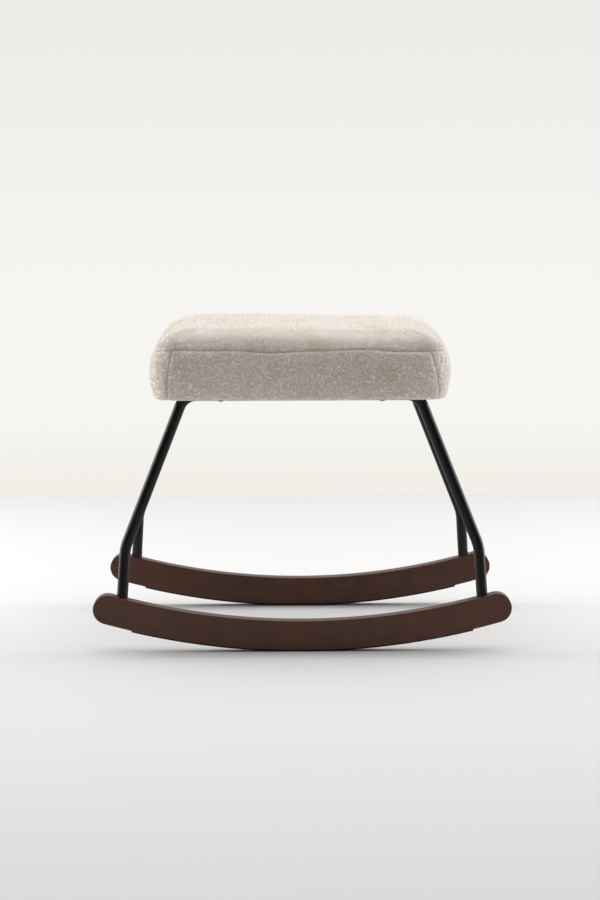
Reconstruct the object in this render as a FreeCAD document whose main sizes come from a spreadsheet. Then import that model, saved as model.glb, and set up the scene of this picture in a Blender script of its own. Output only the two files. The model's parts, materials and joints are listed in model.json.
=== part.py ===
"""Rocking footstool: a boxed plush cushion on two bent tube frames, each standing in a wooden rocker.

Millimetres. +Z is up, X runs along the rockers, and the front rocker is at -Y.
The origin is on the floor, midway between the two rockers.
"""
import FreeCAD, Part
import math
import os

import Sketcher

# Driving sizes. Each cell of the sheet holds one of these numbers under its name.
SIZES = {
    # rocker boards and the strips under them
    "rocker_length": 570.0,
    "rocker_height": 40.0,
    "rocker_thickness": 22.0,
    "rocker_edge": 1.5,
    "sole_radius": 992.0,
    "grip_thickness": 2.0,
    "grip_width": 18.0,
    "grip_end_gap": 52.0,
    # leg frames: tube, and the points where its centre line turns
    "tube_diameter": 15.0,
    "tube_wall": 1.5,
    "root_inset": 38.5,
    "knee_inset": 5.5,
    "knee_height": 141.0,
    "knee_bend": 60.0,
    "shoulder_inset": 47.25,
    "shoulder_bend": 24.0,
    "leg_lean": 6.0,
    "foot_rise": 8.0,
    "socket_clearance": 0.1,
    # cross tubes and the bolts through them
    "cross_spread": 220.0,
    "seat_bolt_spread": 120.0,
    "bolt_diameter": 6.0,
    "bolt_hole": 6.6,
    "thread_clearance": 0.05,
    "seat_bolt_head": 11.0,
    "seat_bolt_head_height": 3.3,
    "seat_bolt_length": 30.0,
    "bolt_end_room": 1.0,
    "saddle_diameter": 14.0,
    "saddle_thickness": 2.0,
    "saddle_wings": 2.5,
    "hex_key": 4.0,
    "hex_depth": 2.0,
    # bolts from below, through the rocker into the plug in the tube's foot
    "web_below_root": 10.0,
    "counterbore": 13.0,
    "rocker_bolt_length": 34.0,
    "rocker_bolt_head": 10.0,
    "rocker_bolt_head_height": 6.0,
    "rocker_washer": 12.0,
    "washer_thickness": 1.2,
    "plug_length": 20.0,
    # cushion, outside of the pile
    "cushion_width": 414.0,
    "cushion_depth": 360.0,
    "rocker_inset": 10.0,
    "cushion_bottom": 342.5,
    "waist_height": 378.0,
    "seam_height": 410.5,
    "shoulder_lift": 26.0,
    "cushion_top": 440.0,
    "corner_radius": 36.0,
    "least_corner": 6.0,
    "bottom_rounding": 8.0,
    "least_rounding": 2.0,
    "bottom_pull": 4.5,
    "seam_pull": 7.0,
    "top_run": 26.0,
    "crown_run": 60.0,
    "corner_seam_inset": 24.0,
    # layers of the cushion
    "cover_thickness": 8.0,
    "wadding_thickness": 6.0,
    "hem_reach": 32.0,
    "flange_reach": 9.0,
    "flange_thickness": 1.2,
    "dust_cover_thickness": 0.8,
    "dust_cover_gap": 0.5,
    "board_thickness": 12.0,
    "board_inset": 21.0,
    "board_corner": 14.0,
    # tee nuts in the board, and staples
    "tee_flange": 19.0,
    "tee_flange_thickness": 1.5,
    "tee_barrel": 8.0,
    "tee_barrel_length": 9.0,
    "staple_crown": 11.0,
    "staple_wire": 1.2,
    "staple_thickness": 0.7,
    "staple_corner_gap": 57.0,
}

# Sizes worked out from the driving ones, as formulas in the same sheet.
WORKED_OUT = {
    "rocker_spread": "cushion_depth - 2 * rocker_inset",
    "grip_length": "rocker_length - 2 * grip_end_gap",
    "root_spread": "rocker_length - 2 * root_inset",
    "knee_spread": "root_spread - 2 * knee_inset",
    "shoulder_spread": "cushion_width - 2 * shoulder_inset",
    "front_panel_width": "cushion_width - 2 * corner_seam_inset",
    "staple_row_width": "cushion_width - 2 * staple_corner_gap",
    "staple_row_depth": "cushion_depth - 2 * staple_corner_gap",
    "middle_radius": "sole_radius - rocker_height / 2",
    "arc_centre": "grip_thickness + sole_radius",
    "root_height": "arc_centre - sqrt(middle_radius ^ 2 - (root_spread / 2) ^ 2)",
    "board_bottom": "cushion_bottom + cover_thickness + wadding_thickness",
    "board_top": "board_bottom + board_thickness",
    "flange_bottom": "board_bottom - flange_thickness",
    "dust_cover_bottom": "flange_bottom - dust_cover_thickness",
    "run_height": "dust_cover_bottom - tube_diameter / 2",
    "knee_rise": "(knee_height - root_height) / cos(leg_lean)",
    "run_rise": "(run_height - root_height) / cos(leg_lean)",
    "run_offset": "rocker_spread / 2 - (run_height - root_height) * tan(leg_lean)",
    "leg_splay": "atan((root_spread - knee_spread) / 2 / knee_rise)",
    "seat_bolt_seat": "run_height - tube_diameter / 2 - saddle_thickness",
}

STAPLES_ACROSS = 8
STAPLES_DEEP = 6
TOP_ANGLES = (0, 22.5, 45, 67.5, 90)
BOTTOM_ANGLES = (90, 45, 0)
# Stations on each side of the cushion's waist, as shares of the way to the bottom or the seam.
WAIST_SHARES = (0.7, 0.35)
# Cutting tools reach this far past the face that they open, so no skin is left there.
OVERRUN = 5.0

doc = FreeCAD.newDocument("rocking_footstool")
sheet = doc.addObject("Spreadsheet::Sheet", "Sizes")
for row, (alias, number) in enumerate(SIZES.items(), start=1):
    sheet.set(f"A{row}", str(number))
    sheet.setAlias(f"A{row}", alias)
for row, (alias, formula) in enumerate(WORKED_OUT.items(), start=1):
    sheet.set(f"B{row}", "=" + formula)
    sheet.setAlias(f"B{row}", alias)
doc.recompute()

nodes = []


def value(expression):
    """The number that an expression on the sheet comes to."""
    result = sheet.evalExpression(expression)
    return float(getattr(result, "Value", result))


def size(alias):
    return f"Sizes.{alias}"


def bind(thing, **expressions):
    """Ties properties of one object to expressions on the sheet."""
    for prop, expression in expressions.items():
        thing.setExpression(prop, expression)


def at(x="0", y="0", z="0"):
    return f"placement(vector({x}; {y}; {z}); rotation(vector(0; 0; 1); 0))"


def turned(x, y, z, axis, angle):
    """A place and a turn about one axis, as an expression."""
    return f"placement(vector({x}; {y}; {z}); rotation(vector({axis}); {angle}))"


ALONG_X = "0; 1; 0"
ALONG_Y = "1; 0; 0"


def keep(thing, label):
    """Marks an object as a finished piece and gives it its name."""
    thing.Label = label
    nodes.append(thing)
    return thing


def cylinder(name, diameter, height, place):
    rod = doc.addObject("Part::Cylinder", name)
    bind(rod, Radius=f"({diameter}) / 2", Height=height, Placement=place)
    return rod


def block(name, width, depth, low, high, centre_x="0", centre_y="0"):
    """A box centred in plan on one point, between two heights."""
    box = doc.addObject("Part::Box", name)
    bind(box, Length=width, Width=depth, Height=f"({high}) - ({low})")
    bind(box, Placement=at(f"({centre_x}) - ({width}) / 2", f"({centre_y}) - ({depth}) / 2", low))
    return box


def fuse(name, *things):
    joined = doc.addObject("Part::MultiFuse", name)
    joined.Shapes = list(things)
    return joined


def cut(name, base, tool):
    rest = doc.addObject("Part::Cut", name)
    rest.Base = base
    rest.Tool = tool
    return rest


def common(name, first, second):
    shared = doc.addObject("Part::MultiCommon", name)
    shared.Shapes = [first, second]
    return shared


def group(label, things):
    """Identical pieces that stay separate solids in one node."""
    compound = doc.addObject("Part::Compound", label)
    compound.Links = list(things)
    return keep(compound, label)


def plane_of(body, role):
    return next(feature for feature in body.Origin.OriginFeatures if feature.Role == role)


def new_sketch(body, name, role):
    sketch = body.newObject("Sketcher::SketchObject", name)
    sketch.AttachmentSupport = [(plane_of(body, role), "")]
    sketch.MapMode = "FlatFace"
    return sketch


def dimension(sketch, name, expression, kind, *points):
    """A sketch dimension whose value follows an expression."""
    index = sketch.addConstraint(Sketcher.Constraint(kind, *points, value(expression)))
    sketch.renameConstraint(index, name)
    sketch.setExpression(f"Constraints.{name}", expression)


def relate(sketch, kind, *points):
    sketch.addConstraint(Sketcher.Constraint(kind, *points))


def arc(centre_x, centre_y, radius, start, end):
    """An arc between two angles in degrees, turning anticlockwise."""
    circle = Part.Circle(FreeCAD.Vector(centre_x, centre_y, 0), FreeCAD.Vector(0, 0, 1), radius)
    return Part.ArcOfCircle(circle, math.radians(start), math.radians(end))


def line(start, end):
    return Part.LineSegment(FreeCAD.Vector(*start, 0), FreeCAD.Vector(*end, 0))


# Names for a sketch element's points and for the sketch's own origin and upright axis.
START, END, CENTRE = range(1, 4)
ORIGIN = (-1, 1)
SKETCH_Y = -2


def pad(body, profile, length):
    solid = body.newObject("PartDesign::Pad", "Pad")
    solid.Profile = profile
    solid.SideType = "Symmetric"
    bind(solid, Length=length)
    return solid


def rounded_rectangle(sketch, width, depth, corner):
    """Four sides and four round corners, centred on the sketch's origin."""
    side, end, bend = value(width) / 2, value(depth) / 2, value(corner)
    inner_x, inner_y = side - bend, end - bend
    lines = [sketch.addGeometry(line(*ends)) for ends in (
        ((-inner_x, -end), (inner_x, -end)),
        ((side, -inner_y), (side, inner_y)),
        ((inner_x, end), (-inner_x, end)),
        ((-side, inner_y), (-side, -inner_y)),
    )]
    arcs = [sketch.addGeometry(arc(x, y, bend, start, start + 90)) for x, y, start in (
        (inner_x, -inner_y, -90),
        (inner_x, inner_y, 0),
        (-inner_x, inner_y, 90),
        (-inner_x, -inner_y, 180),
    )]
    for turn in range(4):
        relate(sketch, "Tangent", lines[turn], END, arcs[turn], START)
        relate(sketch, "Tangent", arcs[turn], END, lines[(turn + 1) % 4], START)
        relate(sketch, "Horizontal" if turn % 2 == 0 else "Vertical", lines[turn])
    for other in arcs[1:]:
        relate(sketch, "Equal", arcs[0], other)
    relate(sketch, "Symmetric", arcs[0], CENTRE, arcs[2], CENTRE, *ORIGIN)
    dimension(sketch, "width", width, "DistanceX", lines[3], START, lines[1], START)
    dimension(sketch, "depth", depth, "DistanceY", lines[0], START, lines[2], START)
    dimension(sketch, "corner", corner, "Radius", arcs[0])


def rounded_plate(name, width, depth, corner, low, thickness):
    """A flat plate with round corners, standing on the given height."""
    body = doc.addObject("PartDesign::Body", name)
    sketch = new_sketch(body, name + "Outline", "XY_Plane")
    rounded_rectangle(sketch, width, depth, corner)
    pad(body, sketch, thickness)
    bind(body, Placement=at(z=f"({low}) + ({thickness}) / 2"))
    return body


def side_of(row):
    """The front row is at -Y and the rear row at +Y."""
    return -1 if row == "front" else 1


def leg_plane(row):
    """The leaning plane of one leg frame, which crosses the middle of its rocker."""
    side = side_of(row)
    middle = f"{side} * Sizes.rocker_spread / 2"
    return turned("0", middle, size("root_height"), ALONG_Y, f"{side} * Sizes.leg_lean")


def on_foot(hand, rise):
    """A place on one foot's centre line, inside the leg plane, a distance above the leg's root."""
    foot = turned(f"{hand} * Sizes.root_spread / 2", "0", "0", ALONG_X, f"{-hand} * Sizes.leg_splay")
    return f"{foot} * {at(z=rise)}"


def rocker_outline(sketch):
    """Two concentric arcs closed by full-round ends."""
    radius, height = value("Sizes.sole_radius"), value("Sizes.rocker_height")
    centre_z, middle = value("Sizes.arc_centre"), value("Sizes.middle_radius")
    reach = (value("Sizes.rocker_length") - height) / 2
    swing = math.degrees(math.asin(reach / middle))
    end_z = centre_z - math.sqrt(middle ** 2 - reach ** 2)
    sole = sketch.addGeometry(arc(0, centre_z, radius, 270 - swing, 270 + swing))
    right = sketch.addGeometry(arc(reach, end_z, height / 2, -90 + swing, 90 + swing))
    top = sketch.addGeometry(arc(0, centre_z, radius - height, 270 - swing, 270 + swing))
    left = sketch.addGeometry(arc(-reach, end_z, height / 2, 90 - swing, 270 - swing))
    relate(sketch, "Coincident", sole, CENTRE, top, CENTRE)
    relate(sketch, "PointOnObject", sole, CENTRE, SKETCH_Y)
    relate(sketch, "Tangent", sole, END, right, START)
    relate(sketch, "Tangent", right, END, top, END)
    relate(sketch, "Tangent", top, START, left, START)
    relate(sketch, "Tangent", left, END, sole, START)
    relate(sketch, "Horizontal", left, CENTRE, right, CENTRE)
    dimension(sketch, "centre_height", size("arc_centre"), "DistanceY", *ORIGIN, sole, CENTRE)
    dimension(sketch, "sole_radius", size("sole_radius"), "Radius", sole)
    dimension(sketch, "top_radius", "Sizes.sole_radius - Sizes.rocker_height", "Radius", top)
    between_ends = "Sizes.rocker_length - Sizes.rocker_height"
    dimension(sketch, "between_ends", between_ends, "DistanceX", left, CENTRE, right, CENTRE)


def face_edges(solid, half_thickness):
    """The edges that bound the two flat faces of a board standing along X."""
    names = []
    for index, edge in enumerate(solid.Shape.Edges, start=1):
        box = edge.BoundBox
        flat = abs(box.YMax - box.YMin) < 0.01
        if flat and abs(abs(box.YMax) - half_thickness) < 0.01:
            names.append(f"Edge{index}")
    return names


def rocker_drill(row):
    """Everything cut from one rocker: two tube sockets, bolt holes and counterbores."""
    tools = []
    for hand in (-1, 1):
        tag = f"{row.title()}{'Left' if hand < 0 else 'Right'}"
        socket = "Sizes.tube_diameter + 2 * Sizes.socket_clearance"
        depth = f"Sizes.rocker_height + {OVERRUN}"
        tools.append(cylinder(tag + "Socket", socket, depth, on_foot(hand, size("foot_rise"))))
        web = f"Sizes.foot_rise + Sizes.web_below_root + 2 * {OVERRUN}"
        start = f"-Sizes.web_below_root - {OVERRUN}"
        tools.append(cylinder(tag + "Shank", size("bolt_hole"), web, on_foot(hand, start)))
        below = f"-Sizes.web_below_root - ({depth})"
        tools.append(cylinder(tag + "Counterbore", size("counterbore"), depth, on_foot(hand, below)))
    drill = fuse(f"{row.title()}RockerDrill", *tools)
    bind(drill, Placement=leg_plane(row))
    return drill


def make_rocker(row):
    body = doc.addObject("PartDesign::Body", f"{row.title()}RockerBoard")
    sketch = new_sketch(body, f"{row.title()}RockerOutline", "XZ_Plane")
    rocker_outline(sketch)
    board = pad(body, sketch, size("rocker_thickness"))
    doc.recompute()
    rounding = body.newObject("PartDesign::Fillet", f"{row.title()}RockerEdges")
    rounding.Base = (board, face_edges(board, value("Sizes.rocker_thickness") / 2))
    bind(rounding, Radius=size("rocker_edge"))
    bind(body, Placement=at(y=f"{side_of(row)} * Sizes.rocker_spread / 2"))
    keep(cut(f"{row.title()}Rocker", body, rocker_drill(row)), f"{row}_rocker")


def make_grip_strip(row):
    """A strip of even thickness glued along the sole, with square ends."""
    body = doc.addObject("PartDesign::Body", f"{row.title()}GripStrip")
    sketch = new_sketch(body, f"{row.title()}GripOutline", "XZ_Plane")
    radius, centre_z = value("Sizes.sole_radius"), value("Sizes.arc_centre")
    outer = radius + value("Sizes.grip_thickness")
    swing = math.asin(value("Sizes.grip_length") / 2 / outer)
    start, end = 270 - math.degrees(swing), 270 + math.degrees(swing)
    upper = sketch.addGeometry(arc(0, centre_z, radius, start, end))
    lower = sketch.addGeometry(arc(0, centre_z, outer, start, end))
    sideways, down = math.sin(swing), math.cos(swing)
    left, right = (
        sketch.addGeometry(line(
            (hand * radius * sideways, centre_z - radius * down),
            (hand * outer * sideways, centre_z - outer * down),
        ))
        for hand in (-1, 1)
    )
    relate(sketch, "Coincident", upper, CENTRE, lower, CENTRE)
    relate(sketch, "PointOnObject", upper, CENTRE, SKETCH_Y)
    for edge, tip in ((left, START), (right, END)):
        relate(sketch, "Coincident", edge, START, upper, tip)
        relate(sketch, "Coincident", edge, END, lower, tip)
        relate(sketch, "PointOnObject", upper, CENTRE, edge)
    relate(sketch, "Horizontal", lower, START, lower, END)
    dimension(sketch, "centre_height", size("arc_centre"), "DistanceY", *ORIGIN, upper, CENTRE)
    dimension(sketch, "upper_radius", size("sole_radius"), "Radius", upper)
    dimension(sketch, "lower_radius", "Sizes.sole_radius + Sizes.grip_thickness", "Radius", lower)
    dimension(sketch, "grip_length", size("grip_length"), "DistanceX", lower, START, lower, END)
    pad(body, sketch, size("grip_width"))
    bind(body, Placement=at(y=f"{side_of(row)} * Sizes.rocker_spread / 2"))
    keep(body, f"{row}_grip_strip")


def bend_at(start, corner, end, radius):
    """The two points where a bend meets the runs on either side of a corner, and its arc."""
    inward = FreeCAD.Vector(start[0] - corner[0], start[1] - corner[1], 0).normalize()
    outward = FreeCAD.Vector(end[0] - corner[0], end[1] - corner[1], 0).normalize()
    half = inward.getAngle(outward) / 2
    corner = FreeCAD.Vector(*corner, 0)
    reach = radius / math.tan(half)
    centre = corner + (inward + outward).normalize() * (radius / math.sin(half))
    first, last = corner + inward * reach, corner + outward * reach
    angles = [math.degrees(math.atan2(point.y - centre.y, point.x - centre.x)) for point in (last, first)]
    return first[:2], last[:2], arc(centre.x, centre.y, radius, *angles)


def leg_path(sketch):
    """Half of the frame's centre line: from the middle of the top run out to one foot."""
    run_rise, shoulder = value("Sizes.run_rise"), value("Sizes.shoulder_spread") / 2
    knee = (value("Sizes.knee_spread") / 2, value("Sizes.knee_rise"))
    splay = value("Sizes.leg_splay")
    foot_rise = value("Sizes.foot_rise")
    foot = (
        value("Sizes.root_spread") / 2 - foot_rise * math.sin(math.radians(splay)),
        foot_rise * math.cos(math.radians(splay)),
    )
    corner = (shoulder, run_rise)
    middle = (0, run_rise)
    run_end, leg_start, shoulder_bend = bend_at(middle, corner, knee, value("Sizes.shoulder_bend"))
    leg_end, toe_start, knee_bend = bend_at(corner, knee, foot, value("Sizes.knee_bend"))
    run = sketch.addGeometry(line(middle, run_end))
    leg = sketch.addGeometry(line(leg_start, leg_end))
    toe = sketch.addGeometry(line(toe_start, foot))
    shoulder_arc = sketch.addGeometry(shoulder_bend)
    knee_arc = sketch.addGeometry(knee_bend)
    shoulder_point = sketch.addGeometry(Part.Point(FreeCAD.Vector(*corner, 0)), True)
    knee_point = sketch.addGeometry(Part.Point(FreeCAD.Vector(*knee, 0)), True)
    relate(sketch, "Horizontal", run)
    relate(sketch, "PointOnObject", run, START, SKETCH_Y)
    relate(sketch, "Tangent", run, END, shoulder_arc, END)
    relate(sketch, "Tangent", shoulder_arc, START, leg, START)
    relate(sketch, "Tangent", leg, END, knee_arc, END)
    relate(sketch, "Tangent", knee_arc, START, toe, START)
    relate(sketch, "PointOnObject", shoulder_point, START, run)
    relate(sketch, "PointOnObject", shoulder_point, START, leg)
    relate(sketch, "PointOnObject", knee_point, START, leg)
    relate(sketch, "PointOnObject", knee_point, START, toe)
    dimension(sketch, "shoulder_x", "Sizes.shoulder_spread / 2",
              "DistanceX", *ORIGIN, shoulder_point, START)
    dimension(sketch, "shoulder_z", size("run_rise"), "DistanceY", *ORIGIN, shoulder_point, START)
    dimension(sketch, "knee_x", "Sizes.knee_spread / 2", "DistanceX", *ORIGIN, knee_point, START)
    dimension(sketch, "knee_z", size("knee_rise"), "DistanceY", *ORIGIN, knee_point, START)
    dimension(sketch, "foot_x", "Sizes.root_spread / 2 - Sizes.foot_rise * sin(Sizes.leg_splay)",
              "DistanceX", *ORIGIN, toe, END)
    dimension(sketch, "foot_z", "Sizes.foot_rise * cos(Sizes.leg_splay)",
              "DistanceY", *ORIGIN, toe, END)
    dimension(sketch, "shoulder_bend", size("shoulder_bend"), "Radius", shoulder_arc)
    dimension(sketch, "knee_bend", size("knee_bend"), "Radius", knee_arc)


def make_leg_frame(row):
    """A bent tube, swept for one half and mirrored for the other."""
    name = row.title()
    body = doc.addObject("PartDesign::Body", f"{name}LegFrame")
    path = new_sketch(body, f"{name}LegPath", "XZ_Plane")
    leg_path(path)
    ring = new_sketch(body, f"{name}LegSection", "YZ_Plane")
    for label, diameter in (
        ("outside", size("tube_diameter")),
        ("inside", "Sizes.tube_diameter - 2 * Sizes.tube_wall"),
    ):
        centre = FreeCAD.Vector(0, value("Sizes.run_rise"), 0)
        circle = ring.addGeometry(Part.Circle(centre, FreeCAD.Vector(0, 0, 1), value(diameter) / 2))
        relate(ring, "PointOnObject", circle, CENTRE, SKETCH_Y)
        dimension(ring, label + "_height", size("run_rise"), "DistanceY", *ORIGIN, circle, CENTRE)
        dimension(ring, label, diameter, "Diameter", circle)
    doc.recompute()
    sweep = body.newObject("PartDesign::AdditivePipe", f"{name}LegSweep")
    sweep.Profile = ring
    sweep.Spine = path
    doc.recompute()
    mirror = body.newObject("PartDesign::Mirrored", f"{name}LegMirror")
    mirror.Originals = [sweep]
    mirror.MirrorPlane = (plane_of(body, "YZ_Plane"), [""])
    body.Tip = mirror
    bind(body, Placement=leg_plane(row))
    keep(body, f"{row}_leg_frame")


def bolt(name, head, head_height, length, place):
    """A bolt with a round hex-key head. Its origin is under the head, and the shank runs up."""
    shank = cylinder(name + "Shank", size("bolt_diameter"), length, at())
    cap = cylinder(name + "Head", head, head_height, at(z=f"-({head_height})"))
    key = doc.addObject("Part::Prism", name + "Key")
    key.Polygon = 6
    bind(key, Circumradius="Sizes.hex_key / sqrt(3)", Height=f"Sizes.hex_depth + {OVERRUN}")
    bind(key, Placement=at(z=f"-({head_height}) - {OVERRUN}"))
    whole = cut(name, fuse(name + "Blank", shank, cap), key)
    bind(whole, Placement=place)
    return whole


def ring(name, outside, inside, length, place):
    outer = cylinder(name + "Outer", outside, length, at())
    inner = cylinder(name + "Inner", inside, f"({length}) + 2 * {OVERRUN}", at(z=f"-{OVERRUN}"))
    whole = cut(name, outer, inner)
    bind(whole, Placement=place)
    return whole


def make_foot_fasteners(row):
    """Plug, bolt and washer at both feet of one leg frame, all on the foot's centre line."""
    plugs, bolts, washers = [], [], []
    for hand in (-1, 1):
        tag = f"{row.title()}{'Left' if hand < 0 else 'Right'}"
        bore = "Sizes.tube_diameter - 2 * Sizes.tube_wall"
        thread = "Sizes.bolt_diameter + 2 * Sizes.thread_clearance"
        place = on_foot(hand, size("foot_rise"))
        plugs.append(ring(tag + "Plug", bore, thread, size("plug_length"), place))
        under_head = "-Sizes.web_below_root - Sizes.washer_thickness"
        bolts.append(bolt(
            tag + "RockerBolt", size("rocker_bolt_head"), size("rocker_bolt_head_height"),
            size("rocker_bolt_length"), on_foot(hand, under_head),
        ))
        washers.append(ring(
            tag + "RockerWasher", size("rocker_washer"), size("bolt_hole"),
            size("washer_thickness"), on_foot(hand, under_head),
        ))
    for label, things in (("foot_plugs", plugs), ("rocker_bolts", bolts), ("rocker_washers", washers)):
        bind(group(f"{row}_{label}", things), Placement=leg_plane(row))


def bolt_points():
    """The four places where a seat bolt goes up through a cross tube."""
    for hand in (-1, 1):
        for side in (-1, 1):
            tag = f"{'Front' if side < 0 else 'Rear'}{'Left' if hand < 0 else 'Right'}"
            yield tag, f"{hand} * Sizes.cross_spread / 2", f"{side} * Sizes.seat_bolt_spread / 2"


def make_cross_tube(side_name):
    """A tube from one frame's top run to the other's, coped to both and drilled for two bolts."""
    hand = -1 if side_name == "left" else 1
    name = side_name.title()
    x = f"{hand} * Sizes.cross_spread / 2"
    length = "2 * Sizes.run_offset"
    level = turned(x, size("run_offset"), size("run_height"), ALONG_Y, "90")
    tube = cylinder(name + "CrossTube", size("tube_diameter"), length, level)
    bore = cylinder(name + "CrossBore", "Sizes.tube_diameter - 2 * Sizes.tube_wall", length, level)
    tools = [bore]
    through = "2 * Sizes.tube_diameter"
    for side, tag in ((-1, "Front"), (1, "Rear")):
        run_y = f"{side} * Sizes.run_offset"
        run = turned(f"{x} - Sizes.tube_diameter", run_y, size("run_height"), ALONG_X, "90")
        tools.append(cylinder(f"{name}{tag}Cope", size("tube_diameter"), through, run))
        hole = at(x, f"{side} * Sizes.seat_bolt_spread / 2", "Sizes.run_height - Sizes.tube_diameter")
        tools.append(cylinder(f"{name}{tag}Hole", size("bolt_hole"), through, hole))
    whole = cut(name + "CrossTubeDrilled", tube, fuse(name + "CrossCuts", *tools))
    keep(whole, f"{side_name}_cross_tube")


def make_seat_fasteners():
    """Bolts up through the cross tubes, saddle washers under the tubes, tee nuts in the board."""
    bolts, saddles, tee_nuts = [], [], []
    for tag, x, y in bolt_points():
        seat = at(x, y, size("seat_bolt_seat"))
        bolts.append(bolt(
            tag + "SeatBolt", size("seat_bolt_head"), size("seat_bolt_head_height"),
            size("seat_bolt_length"), seat,
        ))
        disc = ring(tag + "SaddleDisc", size("saddle_diameter"), size("bolt_hole"),
                    "Sizes.saddle_thickness + Sizes.saddle_wings", seat)
        tube_place = turned(x, f"{y} + Sizes.saddle_diameter", size("run_height"), ALONG_Y, "90")
        tube = cylinder(tag + "SaddleTube", size("tube_diameter"), "2 * Sizes.saddle_diameter", tube_place)
        saddles.append(cut(tag + "Saddle", disc, tube))
        thread = "Sizes.bolt_diameter + 2 * Sizes.thread_clearance"
        barrel = cylinder(tag + "TeeBarrel", size("tee_barrel"), size("tee_barrel_length"),
                          at(x, y, "Sizes.board_top - Sizes.tee_barrel_length"))
        flange = cylinder(tag + "TeeFlange", size("tee_flange"), size("tee_flange_thickness"),
                          at(x, y, size("board_top")))
        bore = cylinder(tag + "TeeBore", thread,
                        f"Sizes.tee_barrel_length + Sizes.tee_flange_thickness + 2 * {OVERRUN}",
                        at(x, y, f"Sizes.board_top - Sizes.tee_barrel_length - {OVERRUN}"))
        tee_nuts.append(cut(tag + "TeeNut", fuse(tag + "TeeBlank", barrel, flange), bore))
    group("seat_bolts", bolts)
    group("saddle_washers", saddles)
    group("seat_tee_nuts", tee_nuts)


def inset_width(inset):
    return f"Sizes.cushion_width - 2 * ({inset})"


def inset_depth(inset):
    return f"Sizes.cushion_depth - 2 * ({inset})"


def cushion_stations(skin):
    """Height and inset of each outline of a cushion form, from the bottom to the crown.

    skin is how far the form lies inside the pile's outer face.
    """
    rounding = f"max(Sizes.bottom_rounding - {skin}; Sizes.least_rounding)"
    for angle in BOTTOM_ANGLES:
        across, up = 1 - math.cos(math.radians(angle)), 1 - math.sin(math.radians(angle))
        yield (f"Sizes.cushion_bottom + {skin} + {rounding} * {up}",
               f"Sizes.bottom_pull + {skin} + {rounding} * {across}")
    side_foot = f"(Sizes.cushion_bottom + {skin} + {rounding})"
    for share in WAIST_SHARES:
        yield (f"Sizes.waist_height + ({side_foot} - Sizes.waist_height) * {share}",
               f"Sizes.bottom_pull * {share ** 2} + {skin}")
    yield size("waist_height"), skin
    for share in reversed(WAIST_SHARES):
        yield (f"Sizes.waist_height + (Sizes.seam_height - Sizes.waist_height) * {share}",
               f"Sizes.seam_pull * {share ** 2} + {skin}")
    for angle in TOP_ANGLES:
        across, up = 1 - math.cos(math.radians(angle)), math.sin(math.radians(angle))
        yield (f"Sizes.seam_height + (Sizes.shoulder_lift - {skin}) * {up}",
               f"Sizes.seam_pull + {skin} + (Sizes.top_run - {skin}) * {across}")
    yield f"Sizes.cushion_top - {skin}", "Sizes.seam_pull + Sizes.top_run + Sizes.crown_run"


def cushion_form(name, skin):
    """The crowned, waisted box of the cushion, drawn through one outline at each station."""
    body = doc.addObject("PartDesign::Body", name)
    sections = []
    for index, (height, inset) in enumerate(cushion_stations(skin)):
        sketch = new_sketch(body, f"{name}Station{index}", "XY_Plane")
        corner = f"max(Sizes.corner_radius - ({inset}); Sizes.least_corner)"
        rounded_rectangle(sketch, inset_width(inset), inset_depth(inset), corner)
        sketch.setExpression("AttachmentOffset.Base.z", height)
        sections.append(sketch)
    doc.recompute()
    loft = body.newObject("PartDesign::AdditiveLoft", name + "Loft")
    loft.Profile = sections[0]
    loft.Sections = sections[1:]
    loft.Ruled = True
    return body


def seam_wedge(row):
    """The part of the plan that one front or rear boxing panel takes, mitred at 45 degrees."""
    side = side_of(row)
    body = doc.addObject("PartDesign::Body", f"{row.title()}SeamWedge")
    sketch = new_sketch(body, f"{row.title()}SeamPlan", "XY_Plane")
    outer = f"Sizes.cushion_depth / 2 + {OVERRUN}"
    half = f"Sizes.front_panel_width / 2 + {OVERRUN}"
    apex_y = side * (value(outer) - value(half))
    corners = [(-value(half), side * value(outer)), (value(half), side * value(outer)), (0, apex_y)]
    edges = [sketch.addGeometry(line(corners[k], corners[(k + 1) % 3])) for k in range(3)]
    for k in range(3):
        relate(sketch, "Coincident", edges[k], END, edges[(k + 1) % 3], START)
    relate(sketch, "Symmetric", edges[0], START, edges[0], END, SKETCH_Y)
    relate(sketch, "PointOnObject", edges[2], START, SKETCH_Y)
    far = (*ORIGIN, edges[0], START) if side > 0 else (edges[0], START, *ORIGIN)
    tall = (edges[2], START, edges[0], START) if side > 0 else (edges[0], START, edges[2], START)
    dimension(sketch, "outer", outer, "DistanceY", *far)
    dimension(sketch, "half", half, "DistanceX", edges[0], START, *ORIGIN)
    dimension(sketch, "height", half, "DistanceY", *tall)
    low, high = f"Sizes.cushion_bottom - {OVERRUN}", size("seam_height")
    pad(body, sketch, f"({high}) - ({low})")
    bind(body, Placement=at(z=f"(({high}) + ({low})) / 2"))
    return body


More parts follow.
